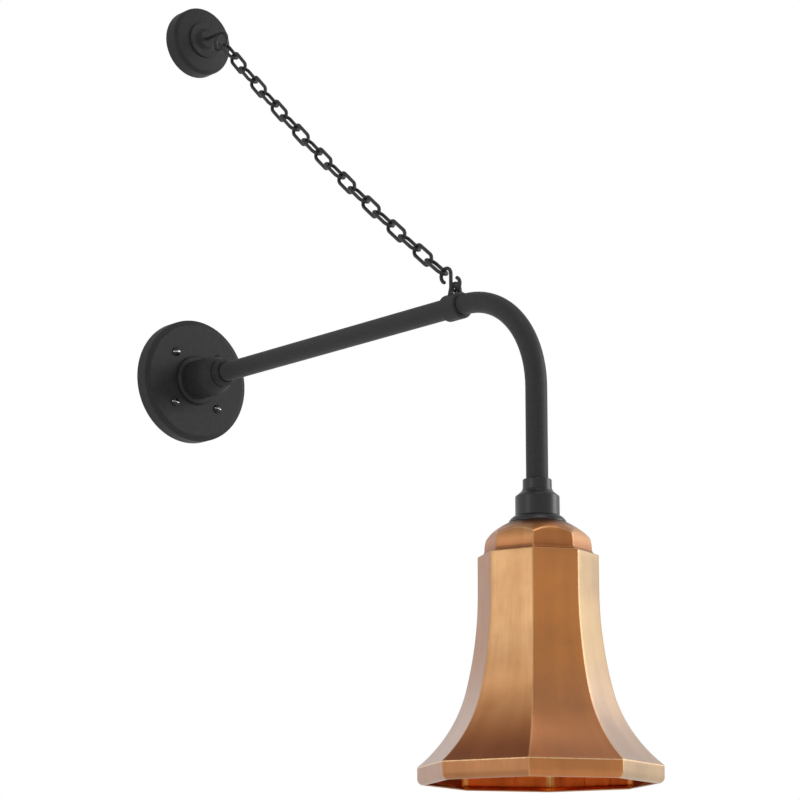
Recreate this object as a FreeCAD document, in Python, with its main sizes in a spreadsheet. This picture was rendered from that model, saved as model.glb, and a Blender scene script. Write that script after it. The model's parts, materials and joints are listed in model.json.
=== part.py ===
import FreeCAD, Part
import math
import os
import Sketcher

# Hanging wall sconce: a bent tube arm on a round wall plate, stayed by a chain
# from its own small wall canopy, with an eight-sided bell shade at the arm's end.
# Millimetres. The origin is the centre of the wall plate on the wall, +Z is up
# and the arm runs out of the wall along -Y.

driving = {
    # wall plate and what holds it
    "plate_radius": 75.1,
    "plate_edge_depth": 16.4,
    "plate_depth": 19.0,
    "plate_bevel": 6.5,
    "plate_round": 1.0,
    "plate_wall": 3.0,
    "screw_circle": 88.9,
    "screw_radius": 2.4,
    "screw_head_radius": 5.1,
    "screw_head_height": 4.0,
    "screw_play": 0.3,
    "screw_slot": 1.3,
    "bar_radius": 58.0,
    "bar_thickness": 4.0,
    "box_screw_spacing": 69.85,
    "box_screw_hole": 2.5,
    "wire_hole": 13.0,
    # hub
    "bead_radius": 30.2,
    "bead_height": 5.6,
    "hub_radius": 23.6,
    "hub_straight": 50.0,
    "hub_length": 70.0,
    "hub_nose": 17.5,
    "hub_neck": 15.0,
    "locknut_flats": 38.0,
    "locknut_height": 5.0,
    "ring_radius": 16.2,
    "ring_length": 10.0,
    "ring_nose": 13.2,
    "ring_bevel": 2.0,
    # bent arm
    "tube_radius": 11.5,
    "tube_wall": 1.6,
    "tube_play": 0.05,
    "arm_reach": 624.4,
    "arm_inset": 9.0,
    "bend_radius": 110.5,
    "drop_length": 208.5,
    # collar on the arm, with its eye
    "collar_to_bend": 16.4,
    "collar_length": 25.0,
    "collar_wall": 3.3,
    "collar_round": 2.2,
    "eye_thickness": 4.4,
    "eye_foot": 10.0,
    "eye_shoulder": 7.2,
    "eye_height": 13.2,
    "eye_hole": 5.0,
    "eye_hole_height": 6.5,
    "set_screw_radius": 2.5,
    # hook and chain
    "wire": 4.2,
    "hook_top_bend": 8.0,
    "hook_low_bend": 7.3,
    "hook_shank": 12.9,
    "hook_sweep": 246.0,
    "hook_play": 0.5,
    "link_count": 19.0,
    "link_pitch": 29.49,
    "link_width": 17.4,
    "link_play": 0.06,
    "chain_turn": 7.7,
    # canopy of the chain
    "canopy_radius": 43.0,
    "canopy_edge_depth": 16.0,
    "canopy_shoulder": 39.0,
    "canopy_shoulder_depth": 20.6,
    "canopy_depth": 22.5,
    "canopy_wall": 2.5,
    "cap_radius": 22.8,
    "cap_step": 2.4,
    "boss_radius": 10.8,
    "boss_depth": 6.6,
    "ring_eye_wire": 4.2,
    "ring_eye_bend": 11.5,
    "ring_eye_reach": 58.0,
    "ring_eye_gap": 28.0,
    "canopy_bar_length": 62.0,
    "canopy_bar_width": 18.0,
    "canopy_bar_thickness": 3.0,
    "canopy_screw_spacing": 46.0,
    "canopy_nut_flats": 8.0,
    "canopy_nut_height": 3.6,
    # fitter under the arm
    "nut_radius": 15.1,
    "nut_height": 11.0,
    "nut_round": 1.4,
    "cup_neck": 16.3,
    "cup_radius": 23.0,
    "cup_shoulder": 8.2,
    "cup_height": 27.6,
    "cup_wall": 2.2,
    "flange_radius": 29.7,
    "flange_height": 7.2,
    "flange_lip": 1.3,
    "bushing_length": 14.0,
    "nipple_radius": 4.9,
    "nipple_bore": 3.4,
    # eight-sided shade: half widths are across flats
    "shade_turn": -3.1,
    "sheet": 1.2,
    "dome_radius": 84.0,
    "dome_offset": 5.35,
    "dome_depth": 76.35,
    "crown_height": 30.7,
    "crown_half": 52.4,
    "crown_side_radius": 37.0,
    "ledge_half": 53.0,
    "ledge_cove": 6.0,
    "body_half": 57.8,
    "ledge_drop": 3.4,
    "straight_drop": 36.6,
    "flare_top_radius": 448.0,
    "flare_top_angle": 13.1,
    "flare_low_radius": 143.9,
    "flare_low_angle": 48.7,
    "brim_round": 3.5,
    "brim_height": 10.2,
    "brim_curl": 6.5,
    "ring_nut_radius": 28.0,
    "ring_nut_height": 4.0,
    # lampholder and lamp
    "holder_radius": 18.8,
    "holder_length": 56.0,
    "holder_play": 0.3,
    "shell_radius": 13.9,
    "shell_wall": 0.5,
    "shell_length": 26.0,
    "lamp_play": 0.3,
    "lamp_radius": 30.0,
    "lamp_length": 106.0,
    "lamp_cap_length": 25.0,
    "lamp_shoulder_angle": 40.0,
    "lamp_glass": 1.0,
}

doc = FreeCAD.newDocument("sconce")
sheet = doc.addObject("Spreadsheet::Sheet", "sizes")
for row, (alias, value) in enumerate(driving.items(), 1):
    sheet.set(f"A{row}", alias)
    sheet.set(f"B{row}", str(value))
    sheet.setAlias(f"B{row}", alias)
doc.recompute()


class Size:
    """A length or angle that knows both its value and the sheet formula for it."""

    def __init__(self, value, text):
        self.value = value
        self.text = text

    def __add__(self, other):
        other = as_size(other)
        return Size(self.value + other.value, f"({self.text} + {other.text})")

    def __radd__(self, other):
        return as_size(other) + self

    def __sub__(self, other):
        other = as_size(other)
        return Size(self.value - other.value, f"({self.text} - {other.text})")

    def __rsub__(self, other):
        return as_size(other) - self

    def __mul__(self, other):
        other = as_size(other)
        return Size(self.value * other.value, f"({self.text} * {other.text})")

    def __rmul__(self, other):
        return as_size(other) * self

    def __truediv__(self, other):
        other = as_size(other)
        return Size(self.value / other.value, f"({self.text} / {other.text})")

    def __neg__(self):
        return Size(-self.value, f"(0 - {self.text})")


def as_size(number):
    return number if isinstance(number, Size) else Size(float(number), f"{float(number):.9g}")


def sine(angle):
    return Size(math.sin(math.radians(angle.value)), f"sin({angle.text})")


def cosine(angle):
    return Size(math.cos(math.radians(angle.value)), f"cos({angle.text})")


def root(number):
    return Size(math.sqrt(number.value), f"sqrt({number.text})")


class Dimensions:
    """Every cell of the sheet, as a Size of the same name."""

    def __init__(self):
        for alias in driving:
            setattr(self, alias, Size(float(sheet.get(alias)), f"sizes.{alias}"))


d = Dimensions()
d.collar_position = d.arm_reach - d.bend_radius - d.collar_to_bend
nodes = []

OUT_OF_WALL = FreeCAD.Rotation(FreeCAD.Vector(1, 0, 0), 90)
UPRIGHT = FreeCAD.Rotation()
TO_X = FreeCAD.Rotation(FreeCAD.Vector(0, 1, 0), 90)


def place(item, x=0.0, y=0.0, z=0.0, turn=UPRIGHT):
    """Put an object at a point whose coordinates follow the sheet."""
    spot = [as_size(value) for value in (x, y, z)]
    item.Placement = FreeCAD.Placement(FreeCAD.Vector(*[s.value for s in spot]), turn)
    for axis, s in zip("xyz", spot):
        item.setExpression(f"Placement.Base.{axis}", s.text)
    return item


def keep(item, label):
    """Take an object as a finished piece under its own name."""
    item.Label = label
    nodes.append(item)
    return item


def arc_between(start, end, radius, side):
    """The short arc from start to end, turning left (side 1) or right (side -1)."""
    chord = end.sub(start)
    rise = math.sqrt(max(radius ** 2 - (chord.Length / 2) ** 2, 0.0))
    normal = FreeCAD.Vector(-chord.y, chord.x, 0).normalize()
    centre = start.add(chord.multiply(0.5)).add(normal.multiply(rise * side))
    circle = Part.Circle(centre, FreeCAD.Vector(0, 0, 1), radius)
    first = math.atan2(start.y - centre.y, start.x - centre.x)
    last = math.atan2(end.y - centre.y, end.x - centre.x)
    if side > 0:
        return Part.ArcOfCircle(circle, first, last), 1, 2
    return Part.ArcOfCircle(circle, last, first), 2, 1


def pin_point(sketch, geometry, point, x, y):
    """Hold a sketch point at x, y, by the sheet's formulas."""
    for value, kind, axis in ((x, "DistanceX", -2), (y, "DistanceY", -1)):
        if abs(value.value) < 1e-9:
            sketch.addConstraint(Sketcher.Constraint("PointOnObject", geometry, point, axis))
            continue
        index = sketch.addConstraint(
            Sketcher.Constraint(kind, -1, 1, geometry, point, value.value))
        sketch.setExpression(f"Constraints[{index}]", value.text)


def draw_outline(sketch, steps, closed=True):
    """Draw corners in order. A step is (x, y), or (x, y, radius, side) for an arc to it."""
    corners = [(as_size(step[0]), as_size(step[1])) for step in steps]
    points = [FreeCAD.Vector(x.value, y.value, 0) for x, y in corners]
    count = len(steps)
    drawn = []
    for i in range(1, count + 1 if closed else count):
        start, end = points[i - 1], points[i % count]
        step = steps[i % count]
        if len(step) == 2:
            shape, first, last = Part.LineSegment(start, end), 1, 2
            index = sketch.addGeometry(shape)
        else:
            radius = as_size(step[2])
            shape, first, last = arc_between(start, end, radius.value, step[3])
            index = sketch.addGeometry(shape)
            rule = sketch.addConstraint(Sketcher.Constraint("Radius", index, radius.value))
            sketch.setExpression(f"Constraints[{rule}]", radius.text)
        if drawn:
            sketch.addConstraint(
                Sketcher.Constraint("Coincident", drawn[-1][0], drawn[-1][2], index, first))
        else:
            pin_point(sketch, index, first, *corners[0])
        drawn.append((index, first, last))
        if i < count:
            pin_point(sketch, index, last, *corners[i])
    if closed:
        sketch.addConstraint(
            Sketcher.Constraint("Coincident", drawn[-1][0], drawn[-1][2], drawn[0][0], drawn[0][1]))
    return sketch


def plane_of(body, role):
    return next(f for f in body.Origin.OriginFeatures if f.Role == role)


def sketch_on(body, role, name):
    sketch = body.newObject("Sketcher::SketchObject", name)
    sketch.AttachmentSupport = (plane_of(body, role), [""])
    sketch.MapMode = "FlatFace"
    return sketch


def turned(name, steps):
    """A piece turned about its own Z axis from an outline of (radius, height) steps."""
    body = doc.addObject("PartDesign::Body", name)
    outline = draw_outline(sketch_on(body, "XZ_Plane", name + "_outline"), steps)
    turning = body.newObject("PartDesign::Revolution", name + "_turning")
    turning.Profile = outline
    turning.ReferenceAxis = (outline, ["V_Axis"])
    turning.Angle = 360
    return body


def bored(body, name, spots, radius, depth):
    """Cut round holes along a turned piece's axis, from its foot up to a depth."""
    doc.recompute()
    before = body.Shape.Volume
    sketch = sketch_on(body, "XY_Plane", name + "_holes")
    for x, y in spots:
        x, y = as_size(x), as_size(y)
        circle = Part.Circle(FreeCAD.Vector(x.value, y.value, 0), FreeCAD.Vector(0, 0, 1),
                             radius.value)
        index = sketch.addGeometry(circle)
        pin_point(sketch, index, 3, x, y)
        rule = sketch.addConstraint(Sketcher.Constraint("Radius", index, radius.value))
        sketch.setExpression(f"Constraints[{rule}]", radius.text)
    pocket = body.newObject("PartDesign::Pocket", name + "_bores")
    pocket.Profile = sketch
    pocket.Reversed = True
    pocket.setExpression("Length", as_size(depth).text)
    doc.recompute()
    if body.Shape.Volume > before - 1.0:
        raise RuntimeError(f"the holes of {name} cut nothing")
    return body


def across_flats(name, outline, thickness, angle=0.0):
    """A straight prism with an outline drawn in X and Z, equally deep either side of Y = 0."""
    sketch = doc.addObject("Sketcher::SketchObject", name + "_profile")
    draw_outline(sketch, outline)
    sketch.Placement = FreeCAD.Placement(
        FreeCAD.Vector(0, 0, 0),
        FreeCAD.Rotation(FreeCAD.Vector(0, 0, 1), angle)
        * FreeCAD.Rotation(FreeCAD.Vector(1, 0, 0), 90))
    prism = doc.addObject("Part::Extrusion", name)
    prism.Base = sketch
    prism.DirMode = "Normal"
    prism.Solid = True
    prism.Symmetric = True
    prism.setExpression("LengthFwd", as_size(thickness).text)
    return prism


def hex_nut(name, flats, bore, height):
    """A six-sided nut that stands on z = 0."""
    body = doc.addObject("Part::Prism", name + "_blank")
    body.Polygon = 6
    body.setExpression("Circumradius", (as_size(flats) / math.sqrt(3)).text)
    body.setExpression("Height", as_size(height).text)
    hole = place(cylinder(name + "_hole", bore, height * 3), z=-height)
    return less(name, body, hole)


def cylinder(name, radius, height):
    item = doc.addObject("Part::Cylinder", name)
    item.setExpression("Radius", as_size(radius).text)
    item.setExpression("Height", as_size(height).text)
    return item


def block(name, length, width, height):
    item = doc.addObject("Part::Box", name)
    for side, value in (("Length", length), ("Width", width), ("Height", height)):
        item.setExpression(side, as_size(value).text)
    return item


def bent_wire(name, bend, thickness, sweep):
    """A round wire bent to an arc about its own Z axis, starting on its X axis."""
    item = doc.addObject("Part::Torus", name)
    item.setExpression("Radius1", as_size(bend).text)
    item.setExpression("Radius2", (as_size(thickness) / 2).text)
    item.setExpression("Angle3", as_size(sweep).text)
    return item


def ball(name, radius):
    item = doc.addObject("Part::Sphere", name)
    item.setExpression("Radius", as_size(radius).text)
    return item


def joined(name, parts):
    item = doc.addObject("Part::MultiFuse", name)
    item.Shapes = parts
    item.Refine = True
    return item


def less(name, base, tool):
    item = doc.addObject("Part::Cut", name)
    item.Base = base
    item.Tool = tool
    return item


def common(name, base, tool):
    item = doc.addObject("Part::Common", name)
    item.Base = base
    item.Tool = tool
    return item


def grouped(name, parts):
    item = doc.addObject("Part::Compound", name)
    item.Links = parts
    return item


# ---- wall plate ------------------------------------------------------------

def wall_plate():
    """A round cast plate, hollow at its back, with a bevelled front edge."""
    inner = d.plate_radius - d.plate_wall
    floor = d.plate_depth - d.plate_wall
    plate = turned("backplate", [
        (d.hub_neck + d.tube_play, floor),
        (inner - d.plate_bevel, floor),
        (inner, d.plate_edge_depth - d.plate_wall),
        (inner, 0),
        (d.plate_radius, 0),
        (d.plate_radius, d.plate_edge_depth - d.plate_round),
        (d.plate_radius - d.plate_round, d.plate_edge_depth, d.plate_round, 1),
        (d.plate_radius - d.plate_bevel, d.plate_depth),
        (d.hub_neck + d.tube_play, d.plate_depth),
    ])
    square = d.screw_circle / 2 * math.sqrt(0.5)
    spots = [(i * square, k * square) for i in (1, -1) for k in (1, -1)]
    bored(plate, "backplate", spots, d.screw_radius + d.screw_play, d.plate_depth + 1)
    place(plate, turn=OUT_OF_WALL)
    keep(plate, "backplate")

    bar = turned("mounting_plate", [
        (d.wire_hole, 0), (d.bar_radius, 0),
        (d.bar_radius, d.bar_thickness), (d.wire_hole, d.bar_thickness)])
    bored(bar, "mounting_plate", spots, d.screw_radius, d.bar_thickness + 1)
    box_spots = [(0, d.box_screw_spacing / 2), (0, d.box_screw_spacing / -2)]
    bored(bar, "mounting_plate_box", box_spots, d.box_screw_hole, d.bar_thickness + 1)
    place(bar, turn=OUT_OF_WALL)
    keep(bar, "mounting_plate")

    screws = []
    for i, (x, z) in enumerate(spots):
        head = slotted_screw(f"plate_screw_{i + 1}")
        screws.append(place(head, x, -d.plate_depth, as_size(z), turn=OUT_OF_WALL))
    keep(grouped("plate_screws", screws), "backplate_screws")


def slotted_screw(name):
    """A round-headed screw with a straight slot; its head sits on its own z = 0."""
    shank = d.plate_depth - d.bar_thickness / 4
    body = turned(name, [
        (0, -shank), (d.screw_radius, -shank), (d.screw_radius, 0),
        (d.screw_head_radius, 0),
        (d.screw_head_radius, d.screw_head_height / 3),
        (d.screw_head_radius / 3, d.screw_head_height, d.screw_head_radius * 0.95, 1),
        (0, d.screw_head_height)])
    slot = place(block(name + "_slot", d.screw_head_radius * 3, d.screw_slot, d.screw_head_height),
                 d.screw_head_radius * -1.5, d.screw_slot / -2, d.screw_head_height * 0.45)
    return less(name + "_slotted", body, slot)


# ---- hub -------------------------------------------------------------------

def hub():
    """The turned socket that carries the arm, its bead, its nose ring and its nut."""
    bore = d.tube_radius + d.tube_play
    face = d.plate_depth
    bead_round = (d.bead_radius - d.hub_radius) / 2
    bead = turned("hub_bead", [
        (d.hub_radius + d.tube_play, face), (d.bead_radius, face),
        (d.bead_radius, face + d.bead_height - bead_round),
        (d.bead_radius - bead_round, face + d.bead_height, bead_round, 1),
        (d.hub_radius + d.tube_play, face + d.bead_height)])
    keep(place(bead, turn=OUT_OF_WALL), "hub_bead_ring")

    foot = d.plate_depth - d.plate_wall - d.locknut_height - 2
    socket = turned("hub", [
        (bore, foot), (d.hub_neck, foot), (d.hub_neck, face), (d.hub_radius, face),
        (d.hub_radius, d.hub_straight),
        (d.hub_nose, d.hub_length, (d.hub_length - d.hub_straight) * 1.9, 1),
        (bore, d.hub_length)])
    keep(place(socket, turn=OUT_OF_WALL), "hub_socket")

    ring = turned("hub_ring", [
        (bore, d.hub_length), (d.ring_radius, d.hub_length),
        (d.ring_radius, d.hub_length + d.ring_length - d.ring_bevel),
        (d.ring_nose, d.hub_length + d.ring_length),
        (bore + 1, d.hub_length + d.ring_length),
        (bore, d.hub_length + d.ring_length - 1)])
    keep(place(ring, turn=OUT_OF_WALL), "hub_compression_ring")

    nut = hex_nut("hub_nut", d.locknut_flats, d.hub_neck + d.tube_play, d.locknut_height)
    place(nut, y=-d.plate_depth + d.plate_wall + d.locknut_height, turn=OUT_OF_WALL)
    keep(nut, "hub_locknut")


# ---- arm -------------------------------------------------------------------

def arm():
    """The bent tube: out from the wall, over a quarter bend and down to the fitter."""
    straight = d.arm_reach - d.bend_radius - d.arm_inset
    drop = d.drop_length + d.nut_height + 2
    body = doc.addObject("PartDesign::Body", "arm")
    path = sketch_on(body, "YZ_Plane", "arm_path")
    draw_outline(path, [
        (0, 0), (-straight, 0),
        (-straight - d.bend_radius, -d.bend_radius, d.bend_radius, 1),
        (-straight - d.bend_radius, -drop)], closed=False)
    section = sketch_on(body, "XZ_Plane", "arm_section")
    for radius in (d.tube_radius, d.tube_radius - d.tube_wall):
        index = section.addGeometry(
            Part.Circle(FreeCAD.Vector(0, 0, 0), FreeCAD.Vector(0, 0, 1), radius.value))
        section.addConstraint(Sketcher.Constraint("Coincident", index, 3, -1, 1))
        rule = section.addConstraint(Sketcher.Constraint("Radius", index, radius.value))
        section.setExpression(f"Constraints[{rule}]", radius.text)
    tube = body.newObject("PartDesign::AdditivePipe", "arm_sweep")
    tube.Profile = section
    tube.Spine = (path, ["Edge1", "Edge2", "Edge3"])
    place(body, y=-d.arm_inset)
    keep(body, "arm_tube")


def collar():
    """The sleeve round the arm with a bent-wire eye on top and a set screw below."""
    outer = d.tube_radius + d.collar_wall
    half = d.collar_length / 2
    sleeve = turned("collar", [
        (d.tube_radius + d.tube_play, -half), (outer - d.collar_round, -half),
        (outer, -half + d.collar_round, d.collar_round, 1),
        (outer, half - d.collar_round),
        (outer - d.collar_round, half, d.collar_round, 1),
        (d.tube_radius + d.tube_play, half)])
    hole = place(cylinder("collar_hole", d.set_screw_radius, d.collar_wall * 3),
                 z=-outer - d.collar_wall)
    drilled = less("collar_drilled", place(sleeve, turn=OUT_OF_WALL), hole)
    place(drilled, y=-d.collar_position)
    keep(drilled, "chain_collar")

    screw = place(cylinder("collar_screw", d.set_screw_radius - d.tube_play, d.collar_wall * 0.85),
                  y=-d.collar_position, z=-outer + d.collar_wall * 0.1)
    keep(screw, "collar_set_screw")


def collar_eye():
    """A cast lug on the collar, with an arched hole for the hook."""
    outer = d.tube_radius + d.collar_wall
    base = d.tube_radius * 0.8
    top = outer + d.eye_height
    hole_top = outer + d.eye_hole_height
    lug = across_flats("eye_lug", [
        (-d.eye_foot, base), (d.eye_foot, base),
        (d.eye_shoulder, top - d.eye_shoulder),
        (0, top, d.eye_shoulder, 1),
        (-d.eye_shoulder, top - d.eye_shoulder, d.eye_shoulder, 1)], d.eye_thickness)
    hole = across_flats("eye_hole_cut", [
        (-d.eye_hole, base), (d.eye_hole, base),
        (d.eye_hole, hole_top - d.eye_hole),
        (0, hole_top, d.eye_hole, 1),
        (-d.eye_hole, hole_top - d.eye_hole, d.eye_hole, 1)], d.eye_thickness * 2)
    core = place(cylinder("eye_core", outer, d.collar_length), y=d.collar_length / 2,
                 turn=OUT_OF_WALL)
    eye = less("eye_seated", lug, joined("eye_cuts", [hole, core]))
    place(eye, y=-d.collar_position)
    keep(eye, "collar_eye")


# ---- chain -----------------------------------------------------------------
# The chain hangs in the plane X = 0. Distances out of the wall are called out
# and heights are measured from the arm's axis.

def hook_centres():
    """Centres of the hook's two bends, as (out, height)."""
    hole_top = d.tube_radius + d.collar_wall + d.eye_hole_height
    room = d.hook_low_bend - d.wire / 2 - d.hook_play
    half_lug = d.eye_thickness / 2
    low_height = hole_top + root(room * room - half_lug * half_lug)
    low = (d.collar_position, low_height)
    high = (d.collar_position - d.hook_low_bend - d.hook_top_bend, low_height + d.hook_shank)
    return high, low


ring_grip = d.ring_eye_bend - d.ring_eye_wire / 2 - d.hook_play
hook_grip = d.hook_top_bend - d.wire / 2


def chain_span():
    """How far the hook's upper centre lies from the ring eye's, along and across the chain."""
    step = d.chain_turn / d.link_count
    lean = step * (d.link_count - 1) / 2
    along = (d.link_pitch * sine(step * d.link_count / 2) / sine(step / 2)
             + (ring_grip + hook_grip) * cosine(lean))
    across = (hook_grip - ring_grip) * sine(lean)
    return along, across


def ring_eye_height():
    """Height of the ring eye's centre, where the chain of this length reaches it."""
    along, across = chain_span()
    high = hook_centres()[0]
    run = high[0] - d.ring_eye_reach
    return high[1] + root(along * along + across * across - run * run)


def link_points():
    """Points where the links bear on each other, from the canopy down, as (out, height)."""
    along, across = (size.value for size in chain_span())
    high = hook_centres()[0]
    top = ring_eye_height().value
    run = high[0].value - d.ring_eye_reach.value
    count = int(d.link_count.value)
    slope = -math.atan2(top - high[1].value, run) - math.atan2(across, along)
    step = math.radians(d.chain_turn.value) / count
    first = slope - step * (count - 1) / 2
    grip = ring_grip.value
    spot = (d.ring_eye_reach.value + grip * math.cos(first), top + grip * math.sin(first))
    points = [spot]
    for i in range(count):
        angle = first + step * i
        spot = (spot[0] + d.link_pitch.value * math.cos(angle),
                spot[1] + d.link_pitch.value * math.sin(angle))
        points.append(spot)
    return points


def chain_link():
    """One oval link, its long way along X and its flat in XY, centred on the origin."""
    bend = (d.link_width - d.wire) / 2
    half = d.link_pitch / 2 + d.link_play + d.wire / 2 - bend
    ends = []
    for side, angle in ((1, -90), (-1, 90)):
        end = bent_wire(f"link_end_{side + 2}", bend, d.wire, 180)
        ends.append(place(end, half * side,
                          turn=FreeCAD.Rotation(FreeCAD.Vector(0, 0, 1), angle)))
    sides = []
    for side in (1, -1):
        bar = cylinder(f"link_side_{side + 2}", d.wire / 2, half * 2)
        sides.append(place(bar, -half, bend * side, 0, turn=TO_X))
    return joined("link", ends + sides)


def chain():
    """Links in a shallow curve, each turned a quarter from the one before it."""
    pattern = chain_link()
    points = link_points()
    for i in range(len(points) - 1):
        start, end = points[i], points[i + 1]
        down = math.degrees(math.atan2(start[1] - end[1], end[0] - start[0]))
        lie = FreeCAD.Rotation(FreeCAD.Vector(1, 0, 0), 0 if i % 2 == 0 else 90)
        aim = (FreeCAD.Rotation(FreeCAD.Vector(1, 0, 0), down)
               * FreeCAD.Rotation(FreeCAD.Vector(0, 0, 1), -90))
        link = grouped(f"link_{i + 1}", [pattern])
        link.Placement = FreeCAD.Placement(
            FreeCAD.Vector(0, -(start[0] + end[0]) / 2, (start[1] + end[1]) / 2), aim * lie)
        keep(link, f"chain_link_{i + 1:02d}")


def hook():
    """The open S-shaped hook from the last link to the collar's eye."""
    high, low = hook_centres()
    shank_out = high[0] + d.hook_top_bend
    pieces = [place(cylinder("hook_straight", d.wire / 2, d.hook_shank), y=-shank_out, z=low[1])]
    into_x = FreeCAD.Vector(-1, 0, 0)
    for name, centre, bend, way in (
            ("hook_top", high, d.hook_top_bend, 1),
            ("hook_low", low, d.hook_low_bend, -1)):
        from_shank = FreeCAD.Vector(0, -way, 0)
        frame = FreeCAD.Rotation(from_shank, into_x.cross(from_shank), into_x, "ZXY")
        arc = bent_wire(name, bend, d.wire, d.hook_sweep)
        pieces.append(place(arc, y=-centre[0], z=centre[1], turn=frame))
        tip_out = centre[0] + bend * cosine(d.hook_sweep) * way
        tip_height = centre[1] + bend * sine(d.hook_sweep) * way
        pieces.append(place(ball(name + "_tip", d.wire / 2), y=-tip_out, z=tip_height))
    keep(joined("hook", pieces), "s_hook")


# ---- canopy of the chain ---------------------------------------------------

def canopy_height():
    """The canopy's axis is level with the top of the ring eye's bend."""
    return ring_eye_height() + d.ring_eye_bend


def canopy():
    """A small dished canopy, its stepped cap, its wall bar and the ring eye."""
    height = canopy_height()
    wall = d.canopy_wall
    hole = d.ring_eye_wire / 2 + d.tube_play
    dish = turned("canopy", [
        (hole, d.canopy_depth - wall),
        (d.canopy_shoulder - wall, d.canopy_shoulder_depth - wall),
        (d.canopy_radius - wall, d.canopy_edge_depth - wall),
        (d.canopy_radius - wall, 0), (d.canopy_radius, 0),
        (d.canopy_radius, d.canopy_edge_depth),
        (d.canopy_shoulder, d.canopy_shoulder_depth,
         d.canopy_radius - d.canopy_shoulder + 2, 1),
        (d.cap_radius, d.canopy_depth), (hole, d.canopy_depth)])
    keep(place(dish, z=height, turn=OUT_OF_WALL), "chain_canopy")

    base = d.canopy_depth
    top = base + d.boss_depth
    rise = d.boss_depth - d.cap_step
    cap = turned("canopy_cap", [
        (hole, base), (d.cap_radius, base),
        (d.cap_radius, base + d.cap_step / 2),
        (d.cap_radius - d.cap_step / 2, base + d.cap_step, d.cap_step / 2, 1),
        (d.boss_radius + rise, base + d.cap_step),
        (d.boss_radius, top - 1, rise * 1.4, -1),
        (d.boss_radius - 1, top, 1, 1), (hole, top)])
    keep(place(cap, z=height, turn=OUT_OF_WALL), "canopy_cap")

    bar = place(block("canopy_bar", d.canopy_bar_length, d.canopy_bar_thickness,
                      d.canopy_bar_width),
                d.canopy_bar_length / -2, -d.canopy_bar_thickness, d.canopy_bar_width / -2)
    drills = [place(cylinder("canopy_bar_tap", d.ring_eye_wire / 2, d.canopy_bar_thickness * 2),
                    0, 0, 0, turn=OUT_OF_WALL)]
    for side in (1, -1):
        drills.append(place(
            cylinder(f"canopy_bar_drill_{side + 2}", d.box_screw_hole, d.canopy_bar_thickness * 2),
            d.canopy_screw_spacing / 2 * side, 0, 0, turn=OUT_OF_WALL))
    drilled = less("canopy_bar_drilled", bar, joined("canopy_bar_drills", drills))
    place(drilled, z=height)
    keep(drilled, "canopy_crossbar")

    nut = hex_nut("canopy_nut", d.canopy_nut_flats, hole, d.canopy_nut_height)
    keep(place(nut, y=-d.canopy_bar_thickness, z=height, turn=OUT_OF_WALL), "ring_eye_nut")

    stem = place(cylinder("ring_stem", d.ring_eye_wire / 2, d.ring_eye_reach),
                 turn=OUT_OF_WALL)
    bend = bent_wire("ring_bend", d.ring_eye_bend, d.ring_eye_wire, 360 - d.ring_eye_gap)
    frame = FreeCAD.Rotation(FreeCAD.Vector(0, 0, 1), FreeCAD.Vector(0, -1, 0),
                             FreeCAD.Vector(1, 0, 0), "ZXY")
    place(bend, y=-d.ring_eye_reach, z=-d.ring_eye_bend, turn=frame)
    ring = joined("ring_eye", [stem, bend])
    place(ring, z=height)
    keep(ring, "canopy_ring_eye")


# ---- fitter ----------------------------------------------------------------

def fitter():
    """The stack below the arm: nut, cup, flange, and the bushing and nipple inside."""
    bore = d.tube_radius + d.tube_play
    top = -d.drop_length
    cup_top = top - d.nut_height
    cup_low = cup_top - d.cup_height
    nut = turned("fitter_nut", [
        (bore, cup_top), (d.nut_radius, cup_top), (d.nut_radius, top - d.nut_round),
        (d.nut_radius - d.nut_round, top, d.nut_round, 1), (bore, top)])
    keep(place(nut, y=-d.arm_reach), "fitter_nut")

    wall = d.cup_wall
    shoulder = cup_top - d.cup_shoulder
    cup = turned("fitter_cup", [
        (bore, cup_top), (bore, cup_top - d.cup_wall),
        (d.cup_neck - wall, cup_top - wall - 0.6),
        (d.cup_radius - wall, shoulder - wall / 2),
        (d.cup_radius - wall, cup_low), (d.cup_radius, cup_low),
        (d.cup_radius, shoulder),
        (d.cup_radius - 1.7, shoulder + 2.2, 2.4, 1),
        (d.cup_neck, cup_top - 1.6), (d.cup_neck - 0.4, cup_top)])
    keep(place(cup, y=-d.arm_reach), "fitter_cup")

    low = cup_low - d.flange_height
    reach = d.flange_radius - d.cup_radius
    flange = turned("fitter_flange", [
        (d.cup_radius - wall, cup_low), (d.cup_radius - wall, low),
        (d.flange_radius, low), (d.flange_radius, low + d.flange_lip),
        (d.cup_radius + 0.4, cup_low, reach * 2, 1)])
    keep(place(flange, y=-d.arm_reach), "fitter_flange")

    tube_bore = d.tube_radius - d.tube_wall - d.tube_play
    tube_end = top - d.nut_height - 2
    bushing = turned("bushing", [
        (d.nipple_radius, tube_end), (tube_bore, tube_end),
        (tube_bore, tube_end + d.bushing_length), (d.nipple_radius, tube_end + d.bushing_length)])
    keep(place(bushing, y=-d.arm_reach), "tube_bushing")

    nipple_top = tube_end + d.bushing_length
    nipple = turned("nipple", [
        (d.nipple_bore, holder_top()), (d.nipple_radius - d.tube_play, holder_top()),
        (d.nipple_radius - d.tube_play, nipple_top), (d.nipple_bore, nipple_top)])
    keep(place(nipple, y=-d.arm_reach), "threaded_nipple")


def shade_top():
    """Height of the crown's top face, where the flange bears on it."""
    return -d.drop_length - d.nut_height - d.cup_height - d.flange_height


def holder_top():
    """Height of the lampholder's top, inside the cup."""
    return -d.drop_length - d.nut_height - d.cup_height / 2


# ---- lampholder and lamp ---------------------------------------------------

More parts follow.
